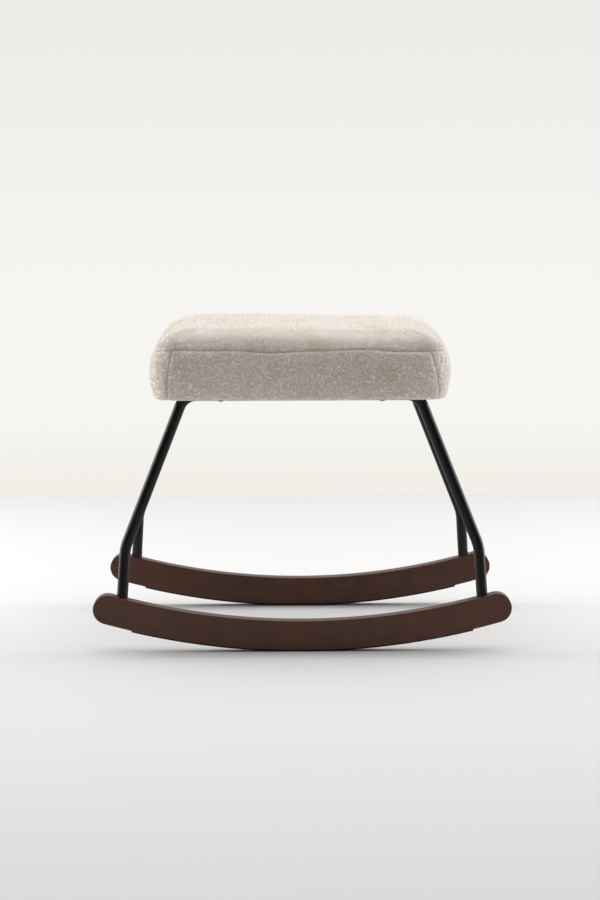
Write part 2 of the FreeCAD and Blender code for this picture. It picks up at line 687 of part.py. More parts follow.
def make_upholstery():
    """Cover, wadding, foam and board, each fitted inside the one outside it."""
    cover_skin = size("cover_thickness")
    foam_skin = "(Sizes.cover_thickness + Sizes.wadding_thickness)"
    outside = cushion_form("CoverForm", "0")
    middle = cushion_form("WaddingForm", cover_skin)
    inside = cushion_form("FoamForm", foam_skin)
    floor = f"Sizes.cushion_bottom - {OVERRUN}"

    turn_in = "Sizes.hem_reach - Sizes.cover_thickness"
    mouth = block("HemMouth", inset_width(turn_in), inset_depth(turn_in), floor, size("board_bottom"))
    keep(cut("WaddingWrap", middle, fuse("WaddingCuts", mouth, inside)), "wadding_wrap")

    core = cut("CoverCore", middle, mouth)
    hem, flange = size("hem_reach"), "Sizes.hem_reach + Sizes.flange_reach"
    opening = block("HemOpening", inset_width(hem), inset_depth(hem), floor, size("flange_bottom"))
    throat_top = "Sizes.board_bottom + Sizes.flange_thickness"
    throat = block("FlangeOpening", inset_width(flange), inset_depth(flange), floor, throat_top)
    skin = cut("CoverSkin", cut("CoverRaw", outside, core), fuse("CoverOpenings", opening, throat))

    make_cover_panels(skin, floor)
    make_board_and_foam(inside)


def make_cover_panels(skin, floor):
    """The cover cut along its seams: a top panel and four boxing panels."""
    margin = f"-{OVERRUN}"
    crown = block("CrownBlock", inset_width(margin), inset_depth(margin), size("seam_height"),
                  f"Sizes.cushion_top + {OVERRUN}")
    keep(common("CoverTopPanel", skin, crown), "cover_top_panel")
    wedges = []
    for row in ("front", "rear"):
        wedge = seam_wedge(row)
        wedges.append(wedge)
        keep(common(f"Cover{row.title()}Panel", skin, wedge), f"cover_{row}_panel")
    both = fuse("SeamWedges", *wedges)
    for side_name, hand in (("left", -1), ("right", 1)):
        width = f"Sizes.cushion_width / 2 + {OVERRUN}"
        half = block(f"{side_name.title()}Half", width, inset_depth(margin), floor, size("seam_height"),
                     centre_x=f"{hand} * ({width}) / 2")
        sides = common(f"{side_name.title()}Skin", skin, half)
        keep(cut(f"Cover{side_name.title()}Panel", sides, both), f"cover_{side_name}_panel")


def make_board_and_foam(inside):
    """A plywood board set into the underside of the foam, bored for its tee nuts."""
    inset = size("board_inset")
    blank = rounded_plate("BoardBlank", inset_width(inset), inset_depth(inset), size("board_corner"),
                          size("board_bottom"), size("board_thickness"))
    through = f"Sizes.board_thickness + 2 * {OVERRUN}"
    barrel = f"Sizes.tee_barrel_length + {OVERRUN}"
    flange = f"Sizes.tee_flange_thickness + {OVERRUN}"
    bolt_end = "Sizes.seat_bolt_seat + Sizes.seat_bolt_length + Sizes.bolt_end_room"
    bores, pockets = [], []
    for tag, x, y in bolt_points():
        under_board = at(x, y, f"Sizes.board_bottom - {OVERRUN}")
        bores.append(cylinder(tag + "BoardHole", size("bolt_hole"), through, under_board))
        barrel_foot = at(x, y, "Sizes.board_top - Sizes.tee_barrel_length")
        bores.append(cylinder(tag + "BarrelHole", size("tee_barrel"), barrel, barrel_foot))
        under_top = at(x, y, f"Sizes.board_top - {OVERRUN}")
        pockets.append(cylinder(tag + "FlangePocket", size("tee_flange"), flange, under_top))
        tip_room = f"max({bolt_end} - Sizes.board_top; 0) + {OVERRUN}"
        pockets.append(cylinder(tag + "BoltPocket", size("bolt_hole"), tip_room, under_top))
    keep(cut("SeatBoard", blank, fuse("BoardBores", *bores)), "seat_board")
    keep(cut("FoamCore", inside, fuse("FoamCuts", blank, *pockets)), "foam_core")


def make_dust_cover():
    """A cloth sheet under the board that laps the cover's flange and is pierced for the bolts."""
    inset = "Sizes.hem_reach + Sizes.dust_cover_gap"
    cloth = rounded_plate("DustCoverBlank", inset_width(inset), inset_depth(inset), size("least_corner"),
                          size("dust_cover_bottom"), size("dust_cover_thickness"))
    through = f"Sizes.dust_cover_thickness + 2 * {OVERRUN}"
    below = f"Sizes.dust_cover_bottom - {OVERRUN}"
    holes = [
        cylinder(tag + "DustHole", size("bolt_hole"), through, at(x, y, below))
        for tag, x, y in bolt_points()
    ]
    keep(cut("DustCover", cloth, fuse("DustHoles", *holes)), "dust_cover")


def make_staples():
    """The crowns of the staples that hold the dust cover and the flange to the board."""
    staples = []
    middle = "(Sizes.hem_reach + Sizes.flange_reach / 2)"
    low, high = "Sizes.dust_cover_bottom - Sizes.staple_thickness", size("dust_cover_bottom")
    for side in (-1, 1):
        for step in range(STAPLES_ACROSS):
            along = step / (STAPLES_ACROSS - 1) - 0.5
            staples.append(block(
                f"StapleAcross{side + 1}{step}", size("staple_crown"), size("staple_wire"), low, high,
                centre_x=f"{along} * Sizes.staple_row_width",
                centre_y=f"{side} * (Sizes.cushion_depth / 2 - {middle})",
            ))
        for step in range(STAPLES_DEEP):
            along = step / (STAPLES_DEEP - 1) - 0.5
            staples.append(block(
                f"StapleDeep{side + 1}{step}", size("staple_wire"), size("staple_crown"), low, high,
                centre_x=f"{side} * (Sizes.cushion_width / 2 - {middle})",
                centre_y=f"{along} * Sizes.staple_row_depth",
            ))
    group("cover_staples", staples)


def check_everything():
    """Stops before anything is written if an object failed or a piece isn't a sound solid."""
    for thing in doc.Objects:
        bad = [state for state in thing.State if state in ("Invalid", "Error")]
        if bad:
            raise RuntimeError(f"{thing.Name} is {bad}")
    for node in nodes:
        if node.Shape.isNull() or not node.Shape.isValid() or not node.Shape.Solids:
            raise RuntimeError(f"{node.Label} has no sound solid")


def write_parts():
    os.makedirs("parts", exist_ok=True)
    for node in nodes:
        node.Shape.exportStep(f"parts/{node.Label}.step")
        print(f"{node.Label}: {len(node.Shape.Solids)} solid(s), {node.Shape.Volume / 1000:.2f} cm3")


for each_row in ("front", "rear"):
    make_rocker(each_row)
    make_grip_strip(each_row)
    make_leg_frame(each_row)
    make_foot_fasteners(each_row)
for each_side in ("left", "right"):
    make_cross_tube(each_side)
make_seat_fasteners()
make_upholstery()
make_dust_cover()
make_staples()
doc.recompute()
check_everything()
write_parts()
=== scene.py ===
"""Looks of the rocking footstool: plush cushion, dark stained rockers and black tube frames.

Metres, in the CAD frame: +Z up, X along the rockers, the front rocker at -Y.
"""

import json
import math

import bmesh
import bpy
import numpy as np
from mathutils import Matrix, Vector


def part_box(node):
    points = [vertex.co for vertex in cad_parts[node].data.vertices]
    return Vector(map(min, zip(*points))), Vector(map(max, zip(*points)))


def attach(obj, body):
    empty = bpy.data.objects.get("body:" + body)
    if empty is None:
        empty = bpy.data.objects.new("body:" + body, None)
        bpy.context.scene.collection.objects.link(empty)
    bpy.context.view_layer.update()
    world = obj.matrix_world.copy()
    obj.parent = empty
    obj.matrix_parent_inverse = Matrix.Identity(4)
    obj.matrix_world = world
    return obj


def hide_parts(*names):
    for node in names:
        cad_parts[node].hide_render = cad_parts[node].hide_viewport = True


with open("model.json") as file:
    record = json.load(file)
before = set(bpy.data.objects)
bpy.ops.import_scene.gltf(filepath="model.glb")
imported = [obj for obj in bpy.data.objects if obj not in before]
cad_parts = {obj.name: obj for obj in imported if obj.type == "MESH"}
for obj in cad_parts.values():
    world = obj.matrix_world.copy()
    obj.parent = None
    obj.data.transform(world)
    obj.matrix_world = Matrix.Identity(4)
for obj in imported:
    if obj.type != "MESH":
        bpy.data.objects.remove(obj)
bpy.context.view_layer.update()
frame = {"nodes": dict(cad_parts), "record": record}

MM = 0.001

# Sizes of the cushion, in the shape of the CAD cover that the plush stands for.
FRONT_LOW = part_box("cover_front_panel")[0]
SIDE_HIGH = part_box("cover_right_panel")[1]
TOP_LOW, TOP_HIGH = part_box("cover_top_panel")
HALF_WIDTH = SIDE_HIGH.x
HALF_DEPTH = -FRONT_LOW.y
BOTTOM = FRONT_LOW.z
SEAM_HEIGHT = TOP_LOW.z
CROWN = TOP_HIGH.z
WAIST_HEIGHT = 378 * MM
CORNER = 36 * MM
EDGE_ROUNDING = 8 * MM
BOTTOM_PULL = 4.5 * MM
SEAM_PULL = 7 * MM
SHOULDER_RUN = 26 * MM
SHOULDER_LIFT = 26 * MM
SHOULDER_SLOPE = 0.12
CROWN_REACH = 40 * MM
HEM_REACH = 32 * MM
CROWN_LIFT = 0.9 * MM
LEAST_CORNER = 6 * MM

# The cover's inside: its thickness, the thin flange at the hem's inner edge, how far in the
# lining ends, and the gap that it keeps.
COVER_THICKNESS = 8 * MM
FLANGE_HEIGHTS = (355.3 * MM, 356.5 * MM)
FLANGE_WIDTH = 9 * MM
LINING_REACH = 93 * MM
LEAST_GAP = 2 * MM

# Grid of the cushion's skin: cells across the front and along a side, the cell's height, and
# the points that its profiles and its corners are drawn with.
CELLS_FRONT = 92
CELLS_SIDE = 94
CELL = 4 * MM
PROFILE_STEPS = 24
SHOULDER_STEPS = 14
CORNER_STEPS = 40

# How far round its corner each corner seam stands, in degrees, at the top seam and at the bottom.
LEFT_SEAM_ANGLES = (11, 25)
RIGHT_SEAM_ANGLES = (19, 46)
REAR_SEAM_ANGLES = (20, 24)

# The top seam's two waves on its way round, and how many rows beside it wander with it.
LONG_WAVE = 1.7 * MM
LONG_WAVE_COUNT = 7
LONG_WAVE_START = 0.66
SHORT_WAVE = 0.7 * MM
SHORT_WAVE_COUNT = 17
WAVE_ROWS = 5

# How far the front corners stand inside the middle of the sides.
LEFT_BOW = 1.5 * MM
RIGHT_BOW = 7.5 * MM

# How much lower the right of the top is than its left, and where the slope starts and ends.
TOP_LEAN = 3 * MM
LEAN_START = -60 * MM
LEAN_END = 40 * MM

# How far the skin starts inside its final size, and how far the stuffing may move it.
SLACK = 1.5 * MM
STUFFING_LIMIT = 4 * MM
STUFFING_FRAMES = 20
SEAM_HOLD = 0.5

# The groove along a seam.
SEAM_HALF_WIDTH = 2.2 * MM
SEAM_DEPTH = 1.5 * MM

# How much less room the wadding takes under the cover than its solid does.
WADDING_SHARE = 0.985
WADDING_DROP = 2 * MM

# The pile: fibres per square metre, a fibre's length, thickness and lean, the scale of the noise
# that it leans by, its least and greatest size, and the bare strips at the hem and the seams.
PILE_DENSITY = 150000.0
PILE_LENGTH = 3.4 * MM
PILE_THICKNESS = 0.22 * MM
PILE_LEAN = 3.5
PILE_SWIRL = 180.0
PILE_SIZES = (0.6, 1.1)
BARE_HEM = 1.5 * MM
BARE_SEAM = 0.5 * MM

# The dust cloth's grid, its holes for the seat bolts, and how it hangs between the tubes.
CLOTH_CELL = 3 * MM
BOLT_Y = 60 * MM
BOLT_HOLE = 5 * MM
CLOTH_SAG = 1.6 * MM
CLOTH_PUCKER = 0.5 * MM
SAG_RUN = 30 * MM
PUCKER_WIDTH = 26 * MM
PUCKER_EDGE = 4 * MM
PUCKER_PITCH = 9 * MM
PUCKER_DRIFT = 31 * MM
TUBE_CLEARANCE = 2 * MM
PUCKER_CLEARANCE = 12 * MM

# The four places where a cross tube is welded to a leg frame, a bead's radius, its least and
# greatest size, and where round the tube the beads sit, in degrees.
TUBE_RADIUS = 7.5 * MM
WELD_X = 110 * MM
WELD_Y = 139.15 * MM
WELD_HEIGHT = 347 * MM
BEAD_RADIUS = 1.5 * MM
BEAD_SIZES = (0.8, 1.1)
BEAD_TURNS = range(-220, 41, 10)

# The camera that was fitted to the photograph: its angles in radians, its place in metres, and
# its sensor and lens in millimetres.
CAMERA_YAW = 0.0084
CAMERA_TILT = 0.1198
CAMERA_ROLL = -0.0034
CAMERA_PLACE = (-0.02913, -3.34063, 0.65704)
CAMERA_SENSOR = 36
CAMERA_LENS = 94.465

# The floor's front edge, its rear edge and half its width, in metres.
FLOOR_NEAR = -8.0
FLOOR_FAR = 1.36
FLOOR_HALF = 8.0


def smooth(low, high, value):
    """0 at low, 1 at high, a smooth curve between, and level beyond both."""
    share = np.clip((value - low) / (high - low), 0, 1)
    return share * share * (3 - 2 * share)


class Wire:
    """What a node gives out. Python's operators on it add Math nodes to the same tree."""

    def __init__(self, nodes, socket):
        self.nodes = nodes
        self.socket = socket

    def maths(self, operation, *values):
        return self.nodes.node("ShaderNodeMath", {"operation": operation}, dict(enumerate(values)))

    def __add__(self, other):
        return self.maths("ADD", self, other)

    def __sub__(self, other):
        return self.maths("SUBTRACT", self, other)

    def __rsub__(self, other):
        return self.maths("SUBTRACT", other, self)

    def __mul__(self, other):
        return self.maths("MULTIPLY", self, other)

    def __abs__(self):
        return self.maths("ABSOLUTE", self)

    def ramp(self, low, high, to_low=0.0, to_high=1.0):
        """This value spread from one range to another, and held at its ends."""
        return self.nodes.node(
            "ShaderNodeMapRange", {"interpolation_type": "SMOOTHSTEP"},
            {0: self, 1: low, 2: high, 3: to_low, 4: to_high})


class Nodes:
    """A node tree being built, for a finish or for geometry."""

    def __init__(self, tree):
        self.tree = tree

    def node(self, kind, settings=None, values=None, output=0):
        """Adds a node. Its settings come first, then the values or links of its sockets."""
        made = self.tree.nodes.new(kind)
        for name, setting in (settings or {}).items():
            setattr(made, name, setting)
        for key, value in (values or {}).items():
            if isinstance(value, Wire):
                self.tree.links.new(value.socket, made.inputs[key])
            else:
                made.inputs[key].default_value = value
        return Wire(self, made.outputs[output]) if made.outputs else None


class Finish(Nodes):
    """One material, with the patterns that several finishes share."""

    def __init__(self, name):
        self.material = bpy.data.materials.new(name)
        self.material.use_nodes = True
        super().__init__(self.material.node_tree)
        self.tree.nodes.clear()

    def place(self, scale=(1, 1, 1), shift=(0, 0, 0)):
        """The place on the piece in metres, stretched and shifted."""
        where = self.node("ShaderNodeTexCoord", output="Object")
        return self.node("ShaderNodeMapping", {}, {"Vector": where, "Location": shift, "Scale": scale})

    def noise(self, place, scale, detail=2.0, roughness=0.5, distortion=0.0):
        return self.node("ShaderNodeTexNoise", {}, {
            "Vector": place, "Scale": scale, "Detail": detail,
            "Roughness": roughness, "Distortion": distortion})

    def wave(self, along, place, scale):
        """Even bands across one axis."""
        return self.node("ShaderNodeTexWave", {"bands_direction": along}, {"Vector": place, "Scale": scale})

    def blend(self, share, first, second):
        """A colour between two, by share."""
        return self.node("ShaderNodeMix", {"data_type": "RGBA"}, {0: share, 6: first, 7: second}, output=2)

    def bump(self, height, depth, strength=1.0):
        """A normal from a height between 0 and 1 that stands for depth in metres."""
        return self.node("ShaderNodeBump", {}, {"Height": height, "Distance": depth, "Strength": strength})

    def surface(self, colour, **sockets):
        """The shader, with plain values on the sockets that are the same all over."""
        values = {"Base Color": colour}
        values.update({name.replace("_", " "): value for name, value in sockets.items()})
        shader = self.node("ShaderNodeBsdfPrincipled", {}, values)
        self.node("ShaderNodeOutputMaterial", {}, {"Surface": shader})
        return self.material


def rgb(red, green, blue):
    """A colour as it is written on a screen, turned to the shader's linear values."""
    def linear(part):
        part = part / 255
        return part / 12.92 if part <= 0.04045 else ((part + 0.055) / 1.055) ** 2.4
    return (linear(red), linear(green), linear(blue), 1.0)


class Growth(Nodes):
    """A Geometry Nodes tree with named sizes, and the run that turns it into a plain mesh."""

    def __init__(self, name, **sizes):
        super().__init__(bpy.data.node_groups.new(name, "GeometryNodeTree"))
        interface = self.tree.interface
        interface.new_socket("Geometry", in_out="INPUT", socket_type="NodeSocketGeometry")
        interface.new_socket("Geometry", in_out="OUTPUT", socket_type="NodeSocketGeometry")
        self.set_by = {}
        for label, amount in sizes.items():
            kind = "NodeSocketInt" if isinstance(amount, int) else "NodeSocketFloat"
            socket = interface.new_socket(label, in_out="INPUT", socket_type=kind)
            self.set_by[socket.identifier] = amount
        self.group = self.tree.nodes.new("NodeGroupInput")

    def given(self, label):
        return Wire(self, self.group.outputs[label])

    def random_size(self, sizes, seed):
        """A number for each place, drawn between the least and the greatest size."""
        return self.node("FunctionNodeRandomValue", {"data_type": "FLOAT"}, {
            2: sizes[0], 3: sizes[1], "Seed": seed}, output=1)

    def finish(self, geometry, base, material):
        """Closes the tree, runs it once on the base object and returns the plain mesh."""
        real = self.node("GeometryNodeRealizeInstances", {}, {0: geometry})
        painted = self.node("GeometryNodeSetMaterial", {}, {0: real, "Material": material})
        out = self.tree.nodes.new("NodeGroupOutput")
        self.tree.links.new(painted.socket, out.inputs[0])
        modifier = base.modifiers.new(self.tree.name, "NODES")
        modifier.node_group = self.tree
        for identifier, amount in self.set_by.items():
            modifier[identifier] = amount
        made = plain_mesh(base)
        base.modifiers.remove(modifier)
        return made


def plain_mesh(thing):
    """The object's mesh with its modifiers worked in."""
    bpy.context.view_layer.update()
    seen = thing.evaluated_get(bpy.context.evaluated_depsgraph_get())
    return bpy.data.meshes.new_from_object(seen)


def new_object(name, mesh):
    thing = bpy.data.objects.new(name, mesh)
    bpy.context.scene.collection.objects.link(thing)
    return thing


def new_mesh(name, points, faces):
    mesh = bpy.data.meshes.new(name)
    mesh.from_pydata([tuple(point) for point in points], [], faces)
    mesh.update()
    return mesh


def shade_smooth(mesh):
    mesh.polygons.foreach_set("use_smooth", [True] * len(mesh.polygons))


def get_points(mesh):
    flat = np.zeros(len(mesh.vertices) * 3)
    mesh.vertices.foreach_get("co", flat)
    return flat.reshape(-1, 3)


def set_points(mesh, points):
    mesh.vertices.foreach_set("co", np.asarray(points).ravel())
    mesh.update()


def get_field(mesh, name):
    values = np.zeros(len(mesh.vertices))
    mesh.attributes[name].data.foreach_get("value", values)
    return values


def set_field(mesh, name, values):
    mesh.attributes.new(name, "FLOAT", "POINT").data.foreach_set("value", values)


def normals_of(mesh):
    flat = np.zeros(len(mesh.vertices) * 3)
    mesh.vertex_normals.foreach_get("vector", flat)
    return flat.reshape(-1, 3)


# Finishes


def plush_finish(name):
    """Short dense pile: squiggly tufts with painted shade in the gaps between them, patches of painted
    highlight on the brush-laid nap, painted shade along the seams, and a bright nap at a low angle.
    """
    finish = Finish(name)
    place = finish.place()
    tufts = finish.noise(place, 250, distortion=1.3)
    ridge = 1 - abs(tufts - 0.5) * 8
    up = finish.node("ShaderNodeTexCoord", output="Normal")
    upright = finish.node("ShaderNodeSeparateXYZ", {}, {0: up}, output="Z").ramp(0.3, 0.95, 1.0, 0.3)
    # The gaps between the tufts: their dark colour below is painted shade, weaker on faces that look up,
    # and the same gaps sink the bump.
    crease = ridge.ramp(0.2, 1.0) * upright
    fine = finish.noise(place, 600, detail=2)
    # Lighter and darker patches of the brush-laid nap: a painted highlight.
    nap_highlight = finish.noise(place, 26, detail=2, distortion=0.4)
    # Darker, warmer patches at random.
    dark_warm_patches = finish.noise(finish.place(shift=(0.3, 0.1, 0)), 14, detail=1)
    colour = finish.blend(nap_highlight.ramp(0.35, 0.7), rgb(246, 236, 225), rgb(250, 243, 235))
    colour = finish.blend(dark_warm_patches.ramp(0.58, 0.75) * 0.4, colour, rgb(214, 188, 160))
    # Painted shade in the gaps between the tufts.
    colour = finish.blend(crease * 0.5, colour, rgb(186, 156, 128))
    # Painted shade in the groove along each seam.
    gap = finish.node("ShaderNodeAttribute", {"attribute_name": "seam_distance"}, output="Fac")
    colour = finish.blend(gap.ramp(0.0, SEAM_HALF_WIDTH, 0.35, 0.0), colour, rgb(140, 118, 98))
    height = fine * 0.3 - crease * 0.7 + 0.7
    return finish.surface(
        colour, Roughness=1.0, Normal=finish.bump(height, 0.75 * MM),
        Sheen_Weight=0.5, Sheen_Roughness=0.5, Sheen_Tint=rgb(255, 248, 240),
        Specular_IOR_Level=0.1)


def fibre_finish(name):
    """The pile's loose tips: paler than the cloth below them, and warmer in some patches, which are a
    painted highlight of the brush-laid nap.
    """
    finish = Finish(name)
    # Patches of the brush-laid nap: a painted highlight, the same as on the cloth below.
    nap_highlight = finish.noise(finish.place(), 26, detail=2, distortion=0.4)
    colour = finish.blend(nap_highlight.ramp(0.35, 0.7), rgb(247, 243, 238), rgb(252, 250, 247))
    return finish.surface(
        colour, Roughness=1.0, Sheen_Weight=0.6, Sheen_Roughness=0.5, Sheen_Tint=rgb(255, 250, 244),
        Specular_IOR_Level=0.1)


def wood_finish(name, shift):
    """Dark stained beech under satin lacquer, its grain along the board and faint bands across."""
    finish = Finish(name)
    drift = (shift, 0, 0)
    grain = finish.noise(finish.place((6, 120, 120), drift), 4, detail=6, roughness=0.62, distortion=0.6)
    pores = finish.noise(finish.place((30, 900, 900), drift), 2, detail=2)
    bands = finish.noise(finish.place((1, 0.2, 0.35), drift), 34, detail=2, roughness=0.45)
    glow = finish.noise(finish.place((1, 1, 1), drift), 17, detail=2)
    colour = finish.blend(grain.ramp(0.25, 0.75), rgb(82, 52, 41), rgb(96, 63, 50))
    colour = finish.blend(glow.ramp(0.45, 0.7) * 0.45, colour, rgb(106, 60, 38))
    colour = finish.blend(bands.ramp(0.48, 0.72) * 0.4, colour, rgb(72, 50, 44))
    colour = finish.blend(pores.ramp(0.62, 0.72) * 0.25, colour, rgb(48, 33, 28))
    height = grain * 0.4 - pores.ramp(0.6, 0.72) * 0.5 + 0.5
    rough = grain.ramp(0.2, 0.8, 0.36, 0.48)
    return finish.surface(
        colour, Roughness=rough, Normal=finish.bump(height, 0.12 * MM, 0.6),
        Specular_IOR_Level=0.25, Coat_Weight=0.08, Coat_Roughness=0.3)


def powder_coat_finish(name):
    """Satin black powder coat with its slight orange peel."""
    finish = Finish(name)
    peel = finish.noise(finish.place(), 900, detail=2)
    cloud = finish.noise(finish.place(), 30, detail=2)
    colour = finish.blend(cloud.ramp(0.3, 0.7), rgb(5, 6, 9), rgb(10, 11, 15))
    rough = cloud.ramp(0.3, 0.7, 0.3, 0.4)
    return finish.surface(
        colour, Roughness=rough, Normal=finish.bump(peel, 0.05 * MM), Specular_IOR_Level=0.3)


def rubber_finish(name):
    """Matt black strip with fine ribs across it."""
    finish = Finish(name)
    ribs = finish.wave("X", finish.place(), 120)
    dust = finish.noise(finish.place(), 60, detail=3)
    colour = finish.blend(dust.ramp(0.4, 0.8), rgb(20, 20, 20), rgb(40, 39, 37))
    return finish.surface(colour, Roughness=0.85, Normal=finish.bump(ribs, 0.25 * MM))


def metal_finish(name, dark, light, roughness):
    """Plated or blackened steel with faint turning lines and cloudy plating."""
    finish = Finish(name)
    cloud = finish.noise(finish.place(), 160, detail=3)
    lines = finish.noise(finish.place((1, 1, 14)), 220, detail=2)
    colour = finish.blend(cloud.ramp(0.3, 0.7), dark, light)
    rough = cloud.ramp(0.3, 0.7, roughness - 0.06, roughness + 0.08)
    return finish.surface(
        colour, Metallic=1.0, Roughness=rough, Normal=finish.bump(lines, 0.02 * MM))


def plywood_finish(name):
    """Birch plywood: pale faces with long grain and dark glue lines between its plies."""
    finish = Finish(name)
    face = finish.noise(finish.place((6, 60, 6)), 5, detail=5, distortion=0.4)
    plies = finish.wave("Z", finish.place(), 131)
    colour = finish.blend(face.ramp(0.3, 0.7), rgb(205, 172, 126), rgb(226, 200, 160))
    colour = finish.blend(plies.ramp(0.5, 0.9) * 0.35, colour, rgb(150, 108, 70))
    return finish.surface(colour, Roughness=0.7, Normal=finish.bump(face, 0.1 * MM))


def foam_finish(name):
    """Open-cell foam."""
    finish = Finish(name)
    cells = finish.node("ShaderNodeTexVoronoi", {}, {"Vector": finish.place(), "Scale": 900})
    colour = finish.blend(cells.ramp(0.1, 0.6), rgb(214, 196, 140), rgb(240, 229, 190))
    return finish.surface(colour, Roughness=0.95, Normal=finish.bump(cells, 0.4 * MM))


def wadding_finish(name):
    """White fibre wadding."""
    finish = Finish(name)
    fibres = finish.noise(finish.place((1, 1, 3)), 240, detail=4, distortion=2.5)
    colour = finish.blend(fibres.ramp(0.35, 0.65), rgb(228, 228, 224), rgb(248, 248, 246))
    return finish.surface(colour, Roughness=1.0, Normal=finish.bump(fibres, 0.5 * MM))


def dust_cloth_finish(name):
    """Black bonded cloth with its pressed diamond pattern."""
    finish = Finish(name)
    slants = []
    for turn in (math.radians(45), math.radians(-45)):
        turned = finish.node("ShaderNodeMapping", {}, {"Vector": finish.place(), "Rotation": (0, 0, turn)})
        slants.append(finish.wave("X", turned, 160))
    pressed = slants[0].ramp(0.4, 0.8) * slants[1].ramp(0.4, 0.8)
    fibres = finish.noise(finish.place(), 700, detail=3, distortion=2)
    colour = finish.blend(fibres.ramp(0.3, 0.7), rgb(26, 26, 27), rgb(46, 46, 48))
    return finish.surface(
        colour, Roughness=0.9, Normal=finish.bump(pressed * 0.7 + fibres * 0.3, 0.2 * MM))


def carried_finishes():
    """The finishes of the CAD nodes that stay, by their slot in the record."""
    return {
        "grip_rubber": rubber_finish("grip_rubber"),
        "frame_black": powder_coat_finish("frame_powder_coat"),
        "black_steel": metal_finish("black_oxide", rgb(34, 34, 36), rgb(52, 52, 54), 0.42),
        "zinc_steel": metal_finish("zinc_plate", rgb(168, 171, 176), rgb(205, 207, 210), 0.3),
        "plywood": plywood_finish("seat_plywood"),
        "foam": foam_finish("seat_foam"),
    }


# Cushion


def lengths_along(points):
    """How far each point of a line lies from its start, along the line."""
    return np.concatenate(([0], np.cumsum(np.linalg.norm(np.diff(points, axis=0), axis=1))))


def rounded_outline(inset, height):
    """Points of one loop round the cushion, anticlockwise from the front left corner seam."""
    bend = max(CORNER - inset, LEAST_CORNER)
    flat_x = HALF_WIDTH - inset - bend
    flat_y = HALF_DEPTH - inset - bend
    steps = np.linspace(0, math.pi / 2, CORNER_STEPS)
    corners = (
        (flat_x, -flat_y, -90), (flat_x, flat_y, 0), (-flat_x, flat_y, 90), (-flat_x, -flat_y, 180))
    path = [np.array([[0, -flat_y - bend]])]
    for x, y, start in corners:
        turn = math.radians(start) + steps
        path.append(np.column_stack((x + bend * np.cos(turn), y + bend * np.sin(turn))))
    path.append(path[0])
    path = np.concatenate(path)
    lengths = lengths_along(path)
    whole = lengths[-1]
    rise = float(np.clip((SEAM_HEIGHT - height) / (SEAM_HEIGHT - BOTTOM), 0, 1))

    def seam(angles):
        return flat_x + bend * math.radians(angles[0] + (angles[1] - angles[0]) * rise)

    left, right, rear = seam(LEFT_SEAM_ANGLES), seam(RIGHT_SEAM_ANGLES), seam(REAR_SEAM_ANGLES)
    stops = (-left, right, whole / 2 - rear, whole / 2 + rear, whole - left)
    cells = (CELLS_FRONT, CELLS_SIDE, CELLS_FRONT, CELLS_SIDE)
    along = np.concatenate([
        np.linspace(stops[k], stops[k + 1], cells[k], endpoint=False) for k in range(4)])
    loop = np.column_stack([np.interp(along % whole, lengths, path[:, axis]) for axis in (0, 1)])
    return np.column_stack((loop, np.full(len(loop), height))), along / whole


def quarter(start, end, sets_off, steps=12):
    """A quarter round between two (inset, height) points, setting off along the named one."""
    turn = np.linspace(0, math.pi / 2, steps)
    first, last = np.sin(turn), 1 - np.cos(turn)
    shares = (first, last) if sets_off == "inset" else (last, first)
    return np.column_stack([low + (high - low) * share for low, high, share in zip(start, end, shares)])


def side_profile():
    """(inset, height) from the hem's inner edge, out below, round the edge and up to the seam."""
    edge = BOTTOM_PULL + EDGE_ROUNDING
    points = [np.array([[HEM_REACH, BOTTOM]])]
    points.append(quarter((edge, BOTTOM), (BOTTOM_PULL, BOTTOM + EDGE_ROUNDING), "inset"))
    for height in np.linspace(BOTTOM + EDGE_ROUNDING, SEAM_HEIGHT, PROFILE_STEPS)[1:]:
        if height < WAIST_HEIGHT:
            share = (WAIST_HEIGHT - height) / (WAIST_HEIGHT - BOTTOM - EDGE_ROUNDING)
            pull = BOTTOM_PULL * share ** 2
        else:
            pull = SEAM_PULL * ((height - WAIST_HEIGHT) / (SEAM_HEIGHT - WAIST_HEIGHT)) ** 2
        points.append(np.array([[pull, height]]))
    return np.concatenate(points)


def shoulder_profile():
    """(inset, height) from the top seam over the shoulder to where the crown's grid starts."""
    start = np.array((SEAM_PULL, SEAM_HEIGHT))
    over = np.array((SEAM_PULL + SHOULDER_RUN * SHOULDER_SLOPE, SEAM_HEIGHT + SHOULDER_LIFT))
    end = np.array((CROWN_REACH, SEAM_HEIGHT + SHOULDER_LIFT + CROWN_LIFT))
    share = np.linspace(0, 1, SHOULDER_STEPS)[:, None]
    return (1 - share) ** 2 * start + 2 * share * (1 - share) * over + share ** 2 * end


def evenly(points, step):
    """The same line with points a step apart, ends kept."""
    lengths = lengths_along(points)
    count = max(1, round(lengths[-1] / step))
    along = np.linspace(0, lengths[-1], count + 1)
    return np.column_stack([np.interp(along, lengths, points[:, axis]) for axis in (0, 1)])


def corner_columns():
    """The columns of the grid that the four corner seams run up."""
    return (0, CELLS_FRONT, CELLS_FRONT + CELLS_SIDE, 2 * CELLS_FRONT + CELLS_SIDE)


def loop_sides(loop):
    """A loop's four sides as lists of vertex numbers, each with both of its ends."""
    starts = corner_columns() + (len(loop),)
    closed = list(loop) + [loop[0]]
    return [closed[starts[k]:starts[k + 1] + 1] for k in range(4)]


